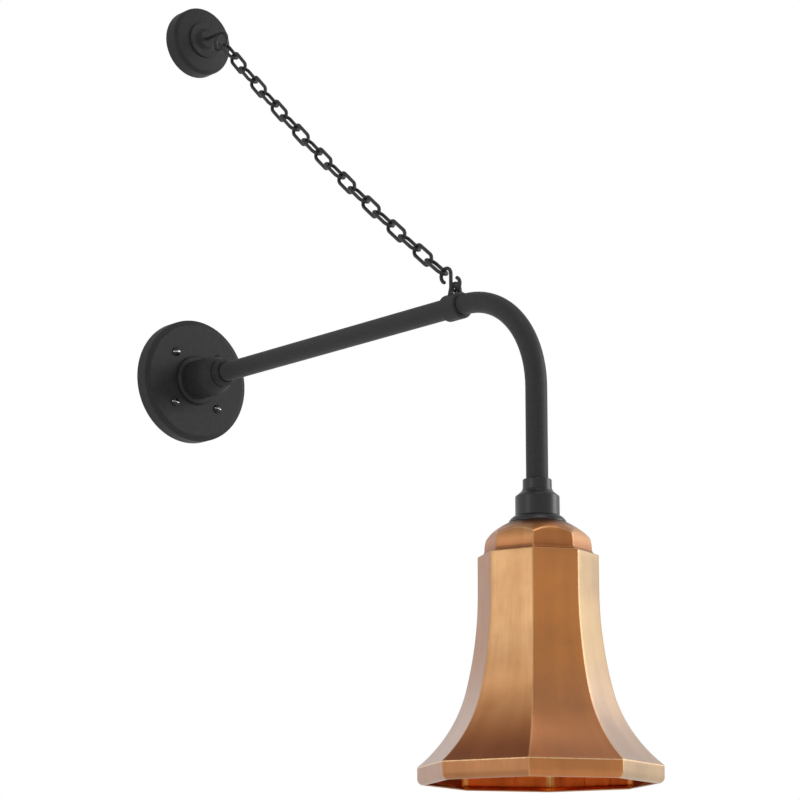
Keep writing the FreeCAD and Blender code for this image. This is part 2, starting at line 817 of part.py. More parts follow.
def lampholder():
    """A screw lampholder hung on the nipple, and the ring nut that clamps the shade."""
    top = holder_top()
    low = top - d.holder_length
    pocket = low + d.shell_length + 1
    radius = d.cup_radius - d.cup_wall - d.holder_play
    body = turned("holder", [
        (d.nipple_bore, top), (d.nipple_bore, pocket + 2), (d.shell_radius, pocket + 2),
        (d.shell_radius, low), (d.holder_radius, low), (d.holder_radius, top - 8),
        (radius, top - 4), (radius, top - 2), (radius - 2, top)])
    keep(place(body, y=-d.arm_reach), "lampholder_body")

    inner = d.shell_radius - d.shell_wall
    shell = turned("shell", [
        (inner, low + 1), (d.shell_radius - d.tube_play, low + 1),
        (d.shell_radius - d.tube_play, low + 1 + d.shell_length),
        (inner, low + 1 + d.shell_length)])
    keep(place(shell, y=-d.arm_reach), "lampholder_screw_shell")

    contact = turned("contact", [
        (0, pocket + 0.6), (d.nipple_radius, pocket + 0.6), (d.nipple_radius, pocket + 2),
        (0, pocket + 2)])
    keep(place(contact, y=-d.arm_reach), "lampholder_contact")

    crown_under = shade_top() - d.sheet
    ring = turned("shade_ring", [
        (d.holder_radius + d.tube_play, crown_under - d.ring_nut_height),
        (d.ring_nut_radius, crown_under - d.ring_nut_height),
        (d.ring_nut_radius, crown_under), (d.holder_radius + d.tube_play, crown_under)])
    keep(place(ring, y=-d.arm_reach), "shade_ring_nut")


def lamp():
    """The bulb: a metal screw cap, its end contact and a pear-shaped glass."""
    seat = holder_top() - d.holder_length + d.shell_length + 1.6 - d.lamp_play
    cap = d.shell_radius - d.shell_wall - d.lamp_play
    neck = seat - d.lamp_cap_length
    tip = turned("lamp_tip", [(0, seat - 2), (4.5, seat - 2), (4.5, seat - 1), (3, seat), (0, seat)])
    keep(place(tip, y=-d.arm_reach), "bulb_contact")

    wall = d.shell_wall
    shell = turned("lamp_cap", [
        (cap - wall, neck), (cap, neck), (cap, seat - 5),
        (6, seat - 2), (0, seat - 2), (0, seat - 2 - wall), (6, seat - 2 - wall),
        (cap - wall, seat - 5 - wall)])
    keep(place(shell, y=-d.arm_reach), "bulb_screw_cap")

    round_by = d.lamp_shoulder_angle
    belly = seat - d.lamp_length + d.lamp_radius
    shoulder = belly + d.lamp_radius * sine(round_by)
    throat = cap - wall - d.tube_play
    sweep = (d.lamp_radius * cosine(round_by) - throat) / (1 - cosine(round_by))
    straight = shoulder + sweep * sine(round_by)
    inner = d.lamp_radius - d.lamp_glass
    glass = turned("lamp_glass_bulb", [
        (throat - d.lamp_glass, neck + 3),
        (throat - d.lamp_glass, straight),
        (inner * cosine(round_by), belly + inner * sine(round_by), sweep + d.lamp_glass, 1),
        (inner, belly, inner, -1),
        (0, belly - inner, inner, -1),
        (0, belly - d.lamp_radius),
        (d.lamp_radius, belly, d.lamp_radius, 1),
        (d.lamp_radius * cosine(round_by), shoulder, d.lamp_radius, 1),
        (throat, straight, sweep, -1),
        (throat, neck + 3)])
    keep(place(glass, y=-d.arm_reach), "bulb_glass")


# ---- shade -----------------------------------------------------------------

def eight_sided(name, steps, width):
    """The solid that four profiles share, each drawn across two opposite flats.

    The steps give one half of the profile, from its bottom up, as (half width,
    height); the other half is its mirror image."""
    mirrored = [(steps[-1][0] * -1, steps[-1][1])]
    for i in range(len(steps) - 2, -1, -1):
        corner = (steps[i][0] * -1, steps[i][1])
        mirrored.append(corner + steps[i + 1][2:])
    prisms = [across_flats(f"{name}_prism_{k}", steps + mirrored, width, 22.5 + 45 * k)
              for k in range(4)]
    shared = prisms[0]
    for k in range(1, 4):
        shared = common(f"{name}_shared_{k}", shared, prisms[k])
    return shared


def bell_steps(inset):
    """Half the bell's profile, from the turned-in brim up to the ledge, set in by inset."""
    a, b = d.flare_top_angle, d.flare_low_angle
    top = -d.crown_height - d.ledge_drop - d.straight_drop
    top_bend = d.flare_top_radius + inset
    low_bend = d.flare_low_radius + inset
    out = d.body_half + d.flare_top_radius
    low_out = out - (d.flare_top_radius - d.flare_low_radius) * cosine(a)
    low_height = top - (d.flare_top_radius - d.flare_low_radius) * sine(a)
    brim_out = low_out - (d.flare_low_radius + d.brim_round) * cosine(b)
    brim_top = low_height - (d.flare_low_radius + d.brim_round) * sine(b)
    edge = brim_out + d.brim_round - inset
    brim_low = brim_top - d.brim_height
    curl = d.brim_curl - inset
    return [
        (edge - curl, brim_low - curl),
        (edge, brim_low, curl, 1),
        (edge, brim_top),
        (low_out - low_bend * cosine(b), low_height - low_bend * sine(b), d.brim_round - inset, 1),
        (out - top_bend * cosine(a), top - top_bend * sine(a), low_bend, -1),
        (d.body_half - inset, top, top_bend, -1),
        (d.body_half - inset, -d.crown_height - d.ledge_drop - inset / 2),
        (d.ledge_half - inset, -d.crown_height - inset, d.ledge_cove + inset, -1),
    ]


def hang_shade(item, label):
    """Turn a shade piece to its place round the drop and hang it under the flange."""
    turn = FreeCAD.Rotation(FreeCAD.Vector(0, 0, 1), d.shade_turn.value)
    keep(place(item, y=-d.arm_reach, z=shade_top(), turn=turn), label)


def shade_body():
    """The bell below the ledge: straight top, flare and turned-in brim."""
    outside = bell_steps(as_size(0))
    inside = bell_steps(d.sheet)
    inside.insert(0, (inside[0][0], outside[0][1] - d.sheet))
    shell = less("bell_hollow", eight_sided("bell_outside", outside, d.arm_reach),
                 eight_sided("bell_inside", inside, d.arm_reach))
    mouth = place(cylinder("bell_mouth", d.crown_half - d.sheet * 2, d.sheet * 3),
                  z=-d.crown_height - d.sheet * 2)
    hang_shade(less("bell", shell, mouth), "shade_body")


def crown_skin(name, inset):
    """The crown's solid inside one of its skins: a round dome cut to eight curved sides."""
    low = -d.crown_height
    side = d.crown_side_radius - inset
    steps = [
        (d.crown_half - inset, low),
        (d.crown_half - d.crown_side_radius + side * 0.3, low + side * math.sqrt(0.91), side, 1),
    ]
    if inset.value > 0:
        steps.insert(0, (d.crown_half - inset, low - inset))
    facets = eight_sided(name, steps, d.arm_reach)
    bend = d.dome_radius - inset
    foot = low - d.sheet * 2
    reach_low = root(bend * bend - (d.dome_depth + foot) * (d.dome_depth + foot)) - d.dome_offset
    reach_top = root(bend * bend - (d.dome_depth - inset) * (d.dome_depth - inset)) - d.dome_offset
    dome = turned(name + "_dome", [
        (0, foot), (reach_low, foot), (reach_top, -inset, bend, 1), (0, -inset)])
    return common(name + "_domed", facets, dome)


def shade_crown():
    """The crown: a round dome that runs out into eight curved facets."""
    shell = less("crown_hollow", crown_skin("crown_outside", as_size(0)),
                 crown_skin("crown_inside", d.sheet))
    hole = place(cylinder("crown_hole", d.holder_radius + d.holder_play, d.crown_height),
                 z=-d.crown_height / 2)
    hang_shade(less("crown", shell, hole), "shade_crown")


# ---- build, check and write ------------------------------------------------

wall_plate()
hub()
arm()
collar()
collar_eye()
hook()
chain()
canopy()
fitter()
lampholder()
lamp()
shade_body()
shade_crown()
doc.recompute()

for item in doc.Objects:
    if "Invalid" in item.State or "Error" in item.State:
        raise RuntimeError(f"{item.Label} failed: {item.State}")
for node in nodes:
    if node.Shape.isNull() or not node.Shape.isValid() or not node.Shape.Solids:
        raise RuntimeError(f"{node.Label} has no valid solid")

os.makedirs("parts", exist_ok=True)
for node in nodes:
    node.Shape.exportStep(f"parts/{node.Label}.step")
    box = node.Shape.BoundBox
    print(f"{node.Label:24s} {len(node.Shape.Solids):2d} solids "
          f"x {box.XMin:8.2f} {box.XMax:8.2f}  y {box.YMin:8.2f} {box.YMax:8.2f} "
          f" z {box.ZMin:8.2f} {box.ZMax:8.2f}")
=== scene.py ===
import json
import math

import bpy
from mathutils import Matrix, Quaternion, Vector, noise


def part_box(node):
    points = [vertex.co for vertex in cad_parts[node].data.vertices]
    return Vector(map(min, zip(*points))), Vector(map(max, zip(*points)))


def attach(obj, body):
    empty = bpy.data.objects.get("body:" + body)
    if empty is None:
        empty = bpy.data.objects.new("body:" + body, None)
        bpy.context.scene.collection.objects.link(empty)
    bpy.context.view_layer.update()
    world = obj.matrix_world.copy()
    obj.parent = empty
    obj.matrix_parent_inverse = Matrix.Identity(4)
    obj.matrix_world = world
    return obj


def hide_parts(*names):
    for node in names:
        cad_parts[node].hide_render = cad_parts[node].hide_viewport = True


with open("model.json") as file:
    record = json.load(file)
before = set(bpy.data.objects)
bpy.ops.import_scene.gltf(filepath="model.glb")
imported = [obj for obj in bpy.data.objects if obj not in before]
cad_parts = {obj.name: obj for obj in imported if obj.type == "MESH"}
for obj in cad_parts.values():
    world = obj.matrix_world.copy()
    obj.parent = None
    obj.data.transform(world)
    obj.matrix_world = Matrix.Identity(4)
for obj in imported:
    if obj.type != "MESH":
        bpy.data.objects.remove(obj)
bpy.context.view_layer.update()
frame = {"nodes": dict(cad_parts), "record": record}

print("frame loaded:", len(frame["nodes"]), "nodes")


def startFresh():  # object mode, with nothing selected
    if bpy.context.object and bpy.context.object.mode != "OBJECT":
        bpy.ops.object.mode_set(mode="OBJECT")
    bpy.ops.object.select_all(action="DESELECT")


def pickOnly(piece):
    startFresh()
    piece.select_set(True)
    bpy.context.view_layer.objects.active = piece


def editWhole(piece):  # edit mode, with all of the piece selected
    pickOnly(piece)
    bpy.ops.object.mode_set(mode="EDIT")
    bpy.ops.mesh.select_all(action="SELECT")


def settle(piece):  # put the piece's place into its mesh, with the origin at the world's
    pickOnly(piece)
    bpy.ops.object.transform_apply(location=True, rotation=True, scale=True)


def cleanMesh(piece, gap):
    editWhole(piece)
    bpy.ops.mesh.remove_doubles(threshold=gap)
    bpy.ops.mesh.normals_make_consistent(inside=False)
    bpy.ops.object.mode_set(mode="OBJECT")


def faceOutward(piece):  # an open shell round the Z axis, whose faces look away from it
    outward = sum(face.normal.x * face.center.x + face.normal.y * face.center.y
                  for face in piece.data.polygons)
    if outward < 0:
        editWhole(piece)
        bpy.ops.mesh.flip_normals()
        bpy.ops.object.mode_set(mode="OBJECT")


def useModifier(piece, kind, **settings):
    modifier = piece.modifiers.new(kind.lower(), kind)
    for name, value in settings.items():
        setattr(modifier, name, value)
    pickOnly(piece)
    bpy.ops.object.modifier_apply(modifier=modifier.name)


def smoothShade(piece, angle):  # edges sharper than the angle, in degrees, stay hard
    pickOnly(piece)
    bpy.ops.object.shade_smooth_by_angle(angle=math.radians(angle))


def arcPoints(centre, radius, first, last, count):  # angles in degrees; the first point is left out
    points = []
    for i in range(1, count + 1):
        angle = math.radians(first + (last - first) * i / count)
        points.append((centre[0] + radius * math.cos(angle), centre[1] + radius * math.sin(angle)))
    return points


def raiseRings(name, sides, rings, cuts=0):
    # a ring of edges, extruded and scaled from step to step; rings are (radius, height)
    startFresh()
    wide, high = rings[0]
    bpy.ops.mesh.primitive_circle_add(vertices=sides, radius=wide, location=(0, 0, 0))
    piece = bpy.context.object
    piece.name = name
    piece.data.name = name
    editWhole(piece)
    bpy.ops.transform.translate(value=(0, 0, high))
    if cuts:
        bpy.ops.mesh.subdivide(number_cuts=cuts)
    for nextWide, nextHigh in rings[1:]:
        bpy.ops.mesh.extrude_region_move(
            TRANSFORM_OT_translate={"value": (0, 0, nextHigh - high)})
        scale = nextWide / wide
        bpy.ops.transform.resize(value=(scale, scale, 1), center_override=(0, 0, nextHigh))
        wide, high = nextWide, nextHigh
    bpy.ops.object.mode_set(mode="OBJECT")
    return piece


view = {
    "place": (-1.8325, -2.5781, -0.7044),
    "azimuth": -40.13,      # degrees, 0 looks along +Y
    "elevation": -12.23,    # the camera looks up at the lamp
    "roll": 0.057,
    "lens": 118.37,
    "sensor": 36.0,
    "clip": (0.05, 100),
}


def aimCamera():
    azimuth, elevation = math.radians(view["azimuth"]), math.radians(view["elevation"])
    back = Vector((math.sin(azimuth) * math.cos(elevation),
                   -math.cos(azimuth) * math.cos(elevation), math.sin(elevation)))
    data = bpy.data.cameras.new("camera")
    data.lens = view["lens"]
    data.sensor_width = view["sensor"]
    data.clip_start, data.clip_end = view["clip"]
    camera = bpy.data.objects.new("camera", data)
    bpy.context.scene.collection.objects.link(camera)
    camera.location = view["place"]
    camera.rotation_mode = "QUATERNION"
    camera.rotation_quaternion = (
        Quaternion(back, math.radians(view["roll"])) @ (-back).to_track_quat("-Z", "Y"))
    bpy.context.scene.camera = camera


lamps = {
    "keyBox": {"place": (2.6, -2.2, 0.9), "size": (1.5, 1.8), "watts": 46},
    "leftBox": {"place": (-3.2, -0.4, 0.3), "size": (0.9, 2.0), "watts": 6},
    "topBox": {"place": (-0.4, -1.6, 3.2), "size": (1.6, 1.2), "watts": 14},
}
lampAim = Vector((0, -0.35, -0.05))


def placeLamps():
    for name, values in lamps.items():
        data = bpy.data.lights.new(name, "AREA")
        data.shape = "RECTANGLE"
        data.size, data.size_y = values["size"]
        data.energy = values["watts"]
        lamp = bpy.data.objects.new(name, data)
        bpy.context.scene.collection.objects.link(lamp)
        lamp.location = values["place"]
        away = Vector(values["place"]) - lampAim
        lamp.rotation_euler = away.to_track_quat("Z", "Y").to_euler()


def put(tree, kind, settings=None, **inputs):
    # a new node; inputs are constants or the sockets that feed them, n0, n1 ... go by number
    node = tree.nodes.new(kind)
    for name, value in (settings or {}).items():
        setattr(node, name, value)
    for name, value in inputs.items():
        key = int(name[1:]) if name[0] == "n" and name[1:].isdigit() else name.replace("_", " ")
        if isinstance(value, bpy.types.NodeSocket):
            tree.links.new(value, node.inputs[key])
        else:
            node.inputs[key].default_value = value
    return node


def sums(tree, operation, *values, clamp=False):
    inputs = {f"n{i}": value for i, value in enumerate(values)}
    return put(tree, "ShaderNodeMath", {"operation": operation, "use_clamp": clamp}, **inputs).outputs[0]


def blendColors(tree, factor, first, second, mode="MIX"):
    node = put(tree, "ShaderNodeMix", {"data_type": "RGBA", "blend_type": mode, "clamp_factor": True})
    for socket, value in ((node.inputs[0], factor), (node.inputs[6], first), (node.inputs[7], second)):
        if isinstance(value, bpy.types.NodeSocket):
            tree.links.new(value, socket)
        else:
            socket.default_value = value if isinstance(value, float) else (*value, 1)
    return node.outputs[2]


def remap(tree, value, low, high, toLow=0.0, toHigh=1.0):  # a soft step between two values
    node = put(tree, "ShaderNodeMapRange", {"interpolation_type": "SMOOTHSTEP"},
               Value=value, From_Min=low, From_Max=high, To_Min=toLow, To_Max=toHigh)
    return node.outputs[0]


def grain(tree, place, scale, detail, rough=0.5):  # noise from 0 to 1, mostly near the middle
    return put(tree, "ShaderNodeTexNoise", Vector=place, Scale=scale, Detail=detail,
               Roughness=rough).outputs["Fac"]


white = (1, 1, 1, 1)
room = {
    "daylight": 0.5,
    "ahead": (-0.55, 0.1, 0.75, 1.0),      # what gloss mirrors, along Y: from, to, strength at both
    "above": (0.15, 0.85, 1.0, 0.55),      # and along Z
    "floorHeight": -1.25, "floorRadius": 14.0, "floorSides": 96,
    "floorDark": (0.86, 0.86, 0.86), "floorLight": (0.9, 0.9, 0.9), "floorSpots": (3.0, 4.0),
    "floorFade": (1.2, 4.0, 0.75, 1.0),    # distances from the origin, and the share of white there
}


def buildWorld():
    world = bpy.data.worlds.new("studio")
    world.use_nodes = True
    bpy.context.scene.world = world
    tree = world.node_tree
    tree.nodes.clear()
    ray = put(tree, "ShaderNodeLightPath").outputs
    toward = put(tree, "ShaderNodeSeparateXYZ",
                 Vector=put(tree, "ShaderNodeTexCoord").outputs["Generated"]).outputs
    mirror = sums(tree, "MULTIPLY", remap(tree, toward["Y"], *room["ahead"]),
                  remap(tree, toward["Z"], *room["above"]))
    seen = put(tree, "ShaderNodeBackground", Color=white, Strength=mirror)
    backdrop = put(tree, "ShaderNodeBackground", Color=white, Strength=1.0)
    daylight = put(tree, "ShaderNodeBackground", Color=white, Strength=room["daylight"])
    mirrored = put(tree, "ShaderNodeMixShader", Fac=ray["Is Glossy Ray"],
                   n1=daylight.outputs[0], n2=seen.outputs[0])
    direct = sums(tree, "MAXIMUM", ray["Is Camera Ray"], ray["Is Transmission Ray"])
    last = put(tree, "ShaderNodeMixShader", Fac=direct, n1=mirrored.outputs[0], n2=backdrop.outputs[0])
    put(tree, "ShaderNodeOutputWorld", Surface=last.outputs[0])


def layFloor():
    startFresh()
    bpy.ops.mesh.primitive_circle_add(vertices=room["floorSides"], radius=room["floorRadius"],
                                      fill_type="NGON", location=(0, 0, room["floorHeight"]))
    floor = bpy.context.object
    floor.name = "floor"
    material = bpy.data.materials.new("paleFloor")
    material.use_nodes = True
    tree = material.node_tree
    tree.nodes.clear()
    place = put(tree, "ShaderNodeTexCoord").outputs["Object"]
    spots = grain(tree, place, *room["floorSpots"])
    paint = put(tree, "ShaderNodeBsdfDiffuse",
                Color=blendColors(tree, spots, room["floorDark"], room["floorLight"]))
    glow = put(tree, "ShaderNodeEmission", Color=white, Strength=1.0)
    clear = put(tree, "ShaderNodeBsdfTransparent")
    ray = put(tree, "ShaderNodeLightPath").outputs
    seen = sums(tree, "MAXIMUM", ray["Is Camera Ray"],
                sums(tree, "MAXIMUM", ray["Is Glossy Ray"], ray["Is Transmission Ray"]))
    # the floor turns into the white of the background some way off
    away = put(tree, "ShaderNodeVectorMath", {"operation": "LENGTH"}, n0=place).outputs["Value"]
    lit = put(tree, "ShaderNodeMixShader",
              Fac=sums(tree, "MULTIPLY", seen, remap(tree, away, *room["floorFade"])),
              n1=paint.outputs[0], n2=glow.outputs[0])
    under = put(tree, "ShaderNodeNewGeometry").outputs["Backfacing"]  # clear when seen from below
    last = put(tree, "ShaderNodeMixShader", Fac=under, n1=lit.outputs[0], n2=clear.outputs[0])
    put(tree, "ShaderNodeOutputMaterial", Surface=last.outputs[0])
    floor.data.materials.append(material)


bpy.context.scene.view_settings.view_transform = "Standard"
aimCamera()
placeLamps()
buildWorld()
layFloor()
print("camera, lamps and room are set")


def newGroup(name, inputs, outputs):
    group = bpy.data.node_groups.new(name, "ShaderNodeTree")
    for socket, kind in inputs:
        group.interface.new_socket(socket, in_out="INPUT", socket_type="NodeSocket" + kind)
    for socket, kind in outputs:
        group.interface.new_socket(socket, in_out="OUTPUT", socket_type="NodeSocket" + kind)
    return group, group.nodes.new("NodeGroupInput"), group.nodes.new("NodeGroupOutput")


middling = (0.3, 0.7)  # most of a noise lies between these
bevelSamples = 4
skinGrain = {
    "fine": (3.0, 0.6), "broad": (4.0, 0.55),  # detail and roughness of each noise
    "lift": (0.6, 0.9),                        # how much each raises the surface
    "bump": 0.5,
}
edgeWear = {
    "turned": (0.995, 0.9),  # how alike the true and the rounded normal are: no wear, full wear
    "breaks": (0.35, 0.65), "detail": 3.0,
}


def buildSkinGroup():  # the fine and the broad unevenness of a painted or cast surface
    group, given, made = newGroup(
        "skinGrain", [("Vector", "Vector"), ("Fine", "Float"), ("Broad", "Float")],
        [("Fine", "Float"), ("Broad", "Float"), ("Height", "Float")])
    asked = given.outputs
    fine = grain(group, asked["Vector"], asked["Fine"], *skinGrain["fine"])
    broad = grain(group, asked["Vector"], asked["Broad"], *skinGrain["broad"])
    fineLift, broadLift = skinGrain["lift"]
    height = sums(group, "ADD", sums(group, "MULTIPLY", fine, fineLift),
                  sums(group, "MULTIPLY", broad, broadLift))
    for name, value in (("Fine", fine), ("Broad", broad), ("Height", height)):
        group.links.new(value, made.inputs[name])
    return group


def buildWearGroup():  # 1 along the edges, broken up by noise
    group, given, made = newGroup(
        "edgeWear", [("Vector", "Vector"), ("Radius", "Float"), ("Scale", "Float")],
        [("Mask", "Float")])
    asked = given.outputs
    rounded = put(group, "ShaderNodeBevel", {"samples": bevelSamples}, Radius=asked["Radius"])
    true = put(group, "ShaderNodeNewGeometry")
    facing = put(group, "ShaderNodeVectorMath", {"operation": "DOT_PRODUCT"},
                 n0=rounded.outputs["Normal"], n1=true.outputs["Normal"])
    edge = remap(group, facing.outputs["Value"], *edgeWear["turned"])
    broken = grain(group, asked["Vector"], asked["Scale"], edgeWear["detail"])
    mask = sums(group, "MULTIPLY", edge, remap(group, broken, *edgeWear["breaks"]), clamp=True)
    group.links.new(mask, made.inputs["Mask"])
    return group


skinGroup = buildSkinGroup()
wearGroup = buildWearGroup()


def newMaterial(name):
    material = bpy.data.materials.new(name)
    material.use_nodes = True
    tree = material.node_tree
    shader = tree.nodes["Principled BSDF"]
    place = put(tree, "ShaderNodeTexCoord").outputs["Object"]
    return material, tree, shader, place


def useGroup(tree, group, **inputs):
    node = tree.nodes.new("ShaderNodeGroup")
    node.node_tree = group
    for name, value in inputs.items():
        if isinstance(value, bpy.types.NodeSocket):
            tree.links.new(value, node.inputs[name])
        else:
            node.inputs[name].default_value = value
    return node.outputs


# fine and broad are the scales of the unevenness, edge and depth are in metres
finishes = {
    "blackCasting": {"dark": (0.019, 0.019, 0.020), "light": (0.024, 0.024, 0.025),
                     "worn": (0.075, 0.074, 0.073), "fine": 1500, "broad": 190, "edge": 0.0009,
                     "rough": (0.52, 0.64), "gloss": 0.26, "metal": 0.0, "depth": 0.00030},
    "blackTube": {"dark": (0.031, 0.031, 0.032), "light": (0.037, 0.037, 0.038),
                  "worn": (0.060, 0.060, 0.060), "fine": 2100, "broad": 240, "edge": 0.0006,
                  "rough": (0.5, 0.6), "gloss": 0.24, "metal": 0.0, "depth": 0.00018},
    "blackSheen": {"dark": (0.008, 0.008, 0.008), "light": (0.012, 0.012, 0.012),
                   "worn": (0.070, 0.070, 0.070), "fine": 1800, "broad": 210, "edge": 0.0007,
                   "rough": (0.30, 0.38), "gloss": 0.5, "metal": 0.0, "depth": 0.00012},
    "blackChain": {"dark": (0.013, 0.013, 0.014), "light": (0.026, 0.026, 0.027),
                   "worn": (0.080, 0.078, 0.075), "fine": 1700, "broad": 420, "edge": 0.0006,
                   "rough": (0.38, 0.55), "gloss": 0.42, "metal": 0.0, "depth": 0.00014},
    "blackScrew": {"dark": (0.003, 0.003, 0.003), "light": (0.006, 0.006, 0.006),
                   "worn": (0.05, 0.05, 0.05), "fine": 2400, "broad": 600, "edge": 0.0005,
                   "rough": (0.3, 0.42), "gloss": 0.4, "metal": 0.0, "depth": 0.00008},
    "zincSteel": {"dark": (0.36, 0.37, 0.38), "light": (0.52, 0.52, 0.50),
                  "worn": (0.72, 0.72, 0.70), "fine": 900, "broad": 160, "edge": 0.0006,
                  "rough": (0.34, 0.5), "gloss": 0.5, "metal": 1.0, "depth": 0.00008},
    "bareSteel": {"dark": (0.34, 0.34, 0.35), "light": (0.55, 0.55, 0.56),
                  "worn": (0.90, 0.90, 0.90), "fine": 2600, "broad": 700, "edge": 0.0002,
                  "rough": (0.22, 0.36), "gloss": 0.5, "metal": 1.0, "depth": 0.00003},
    "yellowBrass": {"dark": (0.44, 0.28, 0.09), "light": (0.66, 0.46, 0.17),
                    "worn": (0.86, 0.68, 0.34), "fine": 1200, "broad": 200, "edge": 0.0006,
                    "rough": (0.24, 0.4), "gloss": 0.5, "metal": 1.0, "depth": 0.00006},
    "nickelCap": {"dark": (0.46, 0.45, 0.42), "light": (0.66, 0.65, 0.61),
                  "worn": (0.84, 0.83, 0.80), "fine": 1300, "broad": 260, "edge": 0.0004,
                  "rough": (0.2, 0.34), "gloss": 0.5, "metal": 1.0, "depth": 0.00004},
    "glazedPorcelain": {"dark": (0.70, 0.68, 0.62), "light": (0.82, 0.80, 0.75),
                        "worn": (0.60, 0.57, 0.50), "fine": 700, "broad": 90, "edge": 0.0005,
                        "rough": (0.12, 0.22), "gloss": 0.5, "metal": 0.0, "depth": 0.00005},
}


def buildFinish(name, values):
    material, tree, shader, place = newMaterial(name)
    skin = useGroup(tree, skinGroup, Vector=place, Fine=values["fine"], Broad=values["broad"])
    wear = useGroup(tree, wearGroup, Vector=place, Radius=values["edge"], Scale=values["broad"])
    body = blendColors(tree, remap(tree, skin["Broad"], *middling), values["dark"], values["light"])
    color = blendColors(tree, wear["Mask"], body, values["worn"])
    tree.links.new(color, shader.inputs["Base Color"])
    tree.links.new(remap(tree, skin["Fine"], *middling, *values["rough"]), shader.inputs["Roughness"])
    shader.inputs["Metallic"].default_value = values["metal"]
    shader.inputs["Specular IOR Level"].default_value = values["gloss"]
    softened = put(tree, "ShaderNodeBevel", {"samples": bevelSamples}, Radius=values["edge"])
    bump = put(tree, "ShaderNodeBump", Strength=skinGrain["bump"], Distance=values["depth"],
               Height=skin["Height"], Normal=softened.outputs["Normal"])
    tree.links.new(bump.outputs["Normal"], shader.inputs["Normal"])
    return material


bulbGlass = {
    "dark": (0.93, 0.92, 0.90), "light": (0.98, 0.98, 0.97), "fine": 2600, "broad": 60,
    "rough": (0.34, 0.5), "through": 0.35, "ior": 1.46, "bump": 0.3, "depth": 0.00004,
}


def buildFrostedGlass():
    material, tree, shader, place = newMaterial("frostedGlass")
    skin = useGroup(tree, skinGroup, Vector=place, Fine=bulbGlass["fine"], Broad=bulbGlass["broad"])
    tree.links.new(blendColors(tree, skin["Broad"], bulbGlass["dark"], bulbGlass["light"]),
                   shader.inputs["Base Color"])
    tree.links.new(remap(tree, skin["Fine"], *middling, *bulbGlass["rough"]), shader.inputs["Roughness"])
    shader.inputs["Transmission Weight"].default_value = bulbGlass["through"]
    shader.inputs["IOR"].default_value = bulbGlass["ior"]
    bump = put(tree, "ShaderNodeBump", Strength=bulbGlass["bump"], Distance=bulbGlass["depth"],
               Height=skin["Fine"])
    tree.links.new(bump.outputs["Normal"], shader.inputs["Normal"])
    return material


finish = {name: buildFinish(name, values) for name, values in finishes.items()}
finish["frostedGlass"] = buildFrostedGlass()

# lengths in metres and heights below the crown's top; a flare is its radius and its angle at the end
nutLow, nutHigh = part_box("fitter_nut")
shade = {
    "axis": tuple((nutLow[i] + nutHigh[i]) / 2 for i in (0, 1)), "top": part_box("shade_crown")[1][2],
    "turn": -3.1, "sheet": 0.0012,
    "halfBody": 0.0578, "straightEnd": -0.0707, "ledge": -0.0341,
    "flareTop": (0.448, 13.1), "flareLow": (0.1439, 49.1),
    "brimRound": 0.0012, "brimLow": -0.26056, "curl": 0.0065,
    "crownHalf": 0.0513, "crownFoot": -0.0279, "crownBend": 0.037,
    "domeBend": 0.084, "domeOffset": 0.00535, "domeDepth": 0.07635,
    "cornerRound": 0.0006, "ledgeRound": 0.0012, "creaseRound": 0.0007,
    "dents": 0.00016, "dentWaves": (22, 13),       # depth, and how close they lie across and down
    "bellHard": 24, "crownHard": 40, "rounded": 25,  # degrees between faces
    "roundCuts": 3,
}
sheetCount = 8
sheetStep = 360 / sheetCount                          # degrees from corner to corner
widen = 1 / math.cos(math.radians(sheetStep / 2))     # from half across flats to half across corners

# each sheet round the shade has its own color, and its own share of brown low down: partly aging, partly
# a painted reflection of what each sheet faces
sheetColors = (
    (0.50, 0.26, 0.110, 0.6), (0.46, 0.22, 0.090, 0.8), (0.50, 0.27, 0.130, 0.5),
    (0.37, 0.180, 0.096, 0.0), (0.54, 0.310, 0.146, 1.0), (0.56, 0.222, 0.067, 0.82),
    (0.50, 0.350, 0.195, 0.1), (0.46, 0.290, 0.165, 0.2),
)

# inside, the sheets at the sides are darker than the ones at front and back, partly a painted reflection
innerColors = (
    (0.90, 0.215, 0.040, 1), (0.92, 0.240, 0.048, 1), (0.30, 0.080, 0.024, 1),
    (0.34, 0.085, 0.026, 1), (0.90, 0.245, 0.050, 1), (0.90, 0.225, 0.045, 1),
    (0.34, 0.085, 0.026, 1), (0.28, 0.072, 0.022, 1),
)

copper = {
    # the haze is a pale tone low on the side sheets, partly a painted reflection
    "hazeAndSheen": (0.56, 0.42, 0.35), "brown": (0.60, 0.225, 0.075), "deep": (0.27, 0.085, 0.030),
    "rose": (0.74, 0.43, 0.28), "bright": (0.90, 0.62, 0.34),
    # scale, detail and roughness of the noises
    "brush": (520.0, 4.0, 0.6), "streak": (70.0, 3.0), "cloud": (16.0, 5.0, 0.55),
    "speck": (260.0, 4.0),
    "brushSpread": (0.06, 0.05),                   # brushing, per sheet and per metre down
    "patches": (0.75, 0.25),                       # shares of cloud and streak
    "coat": 0.08, "coatRough": 0.25, "brushLift": 0.5, "bump": 0.22, "depth": 0.00012,
    # the brim crease and the arch share set painted highlights
    "brimCrease": -0.2495, "archShare": 0.8, "cornerDull": 5.0, "dullness": 0.12,
}

